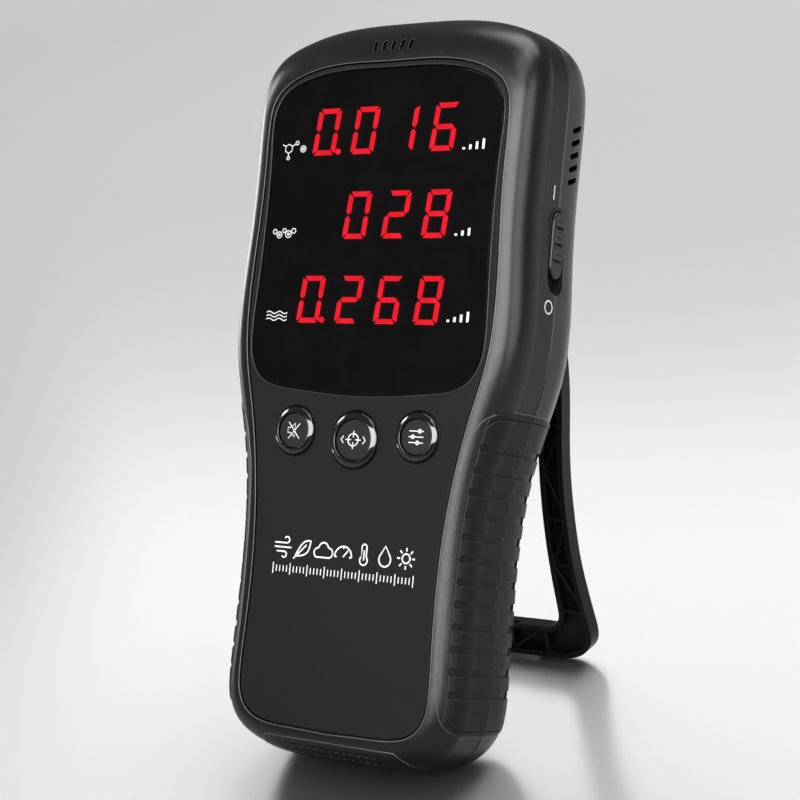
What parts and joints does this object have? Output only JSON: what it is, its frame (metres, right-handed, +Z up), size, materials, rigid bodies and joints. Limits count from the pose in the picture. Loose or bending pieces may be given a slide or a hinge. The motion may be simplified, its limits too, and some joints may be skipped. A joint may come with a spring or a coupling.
{
  "type": "air quality monitor",
  "caption": "Hand-held air quality monitor with a three-line red digit display, round keys, side power slide, rubber grips and a fold-out stand.",
  "frame": {"origin": "centre of the bounding box at floor level, with the case leaning back on its open stand", "axes": "+Z up from the surface it stands on, -Y towards the viewer of the display, +X to the right seen from the front"},
  "size_m": [0.0838, 0.1129, 0.1623],
  "materials": {
    "case_plastic": "satin",
    "panel_plastic": "matte",
    "smoked_glass": "polished",
    "module_plastic": "matte",
    "led_red": "polished",
    "grip_rubber": "matte",
    "button_plastic": "matte",
    "gloss_ring": "polished",
    "silicone": "matte",
    "switch_plastic": "satin",
    "board": "satin",
    "chip_plastic": "matte",
    "steel": "satin",
    "cell_foil": "satin",
    "inner_plastic": "matte",
    "sensor_metal": "satin",
    "recess_plastic": "matte",
    "felt": "matte",
    "stand_plastic": "satin",
    "foot_rubber": "matte"
  },
  "bodies": {
    "case": {"battery_leads": "silicone", "battery_pack": "cell_foil", "battery_tray": "inner_plastic", "board_screws": "steel", "bottom_grille": "case_plastic", "button_rings": "gloss_ring", "buzzer": "chip_plastic", "case_screws": "steel", "charging_board": "board", "charging_socket": "steel", "controller_chips": "chip_plastic", "display_window": "smoked_glass", "dust_sensor_cover": "sensor_metal", "dust_sensor_housing": "sensor_metal", "formaldehyde_sensor": "inner_plastic", "front_panel": "panel_plastic", "front_shell": "case_plastic", "grip_pad_left": "grip_rubber", "grip_pad_right": "grip_rubber", "intake_filter": "felt", "keypad_membrane": "silicone", "led_modules": "module_plastic", "led_segments": "led_red", "main_board": "board", "power_switch_bezel": "recess_plastic", "power_switch_body": "sensor_metal", "rear_shell": "case_plastic", "stand_hinge_pins": "steel", "tact_switches": "switch_plastic", "voc_sensor": "sensor_metal"},
    "stand": {"kickstand": "stand_plastic", "stand_foot_pad": "foot_rubber"},
    "mute_key": {"mute_button": "button_plastic"},
    "calibrate_key": {"calibrate_button": "button_plastic"},
    "function_key": {"function_button": "button_plastic"},
    "power_slider": {"power_switch_knob": "case_plastic"},
    "fan_rotor": {"sensor_fan": "inner_plastic"}
  },
  "joints": [
    {"name": "stand_hinge", "type": "hinge", "parent": "case", "child": "stand", "pos_m": [0, 0.02532, 0.09547], "axis": [1, 0, 0], "range_deg": [-24, 0]},
    {"name": "mute_press", "type": "slide", "parent": "case", "child": "mute_key", "axis": [0, 0.8634, -0.5045], "range_m": [0, 0.0008], "stiffness_N_per_m": 900, "springref_m": -0.0003},
    {"name": "calibrate_press", "type": "slide", "parent": "case", "child": "calibrate_key", "axis": [0, 0.8634, -0.5045], "range_m": [0, 0.0008], "stiffness_N_per_m": 900, "springref_m": -0.0003},
    {"name": "function_press", "type": "slide", "parent": "case", "child": "function_key", "axis": [0, 0.8634, -0.5045], "range_m": [0, 0.0008], "stiffness_N_per_m": 900, "springref_m": -0.0003},
    {"name": "power_slide", "type": "slide", "parent": "case", "child": "power_slider", "axis": [0, -0.5045, -0.8634], "range_m": [0, 0.0028]},
    {"name": "fan_spin", "type": "hinge", "parent": "case", "child": "fan_rotor", "pos_m": [0.0145, 0.02303, 0.11592], "axis": [0, 0.8634, -0.5045], "continuous": true}
  ]
}
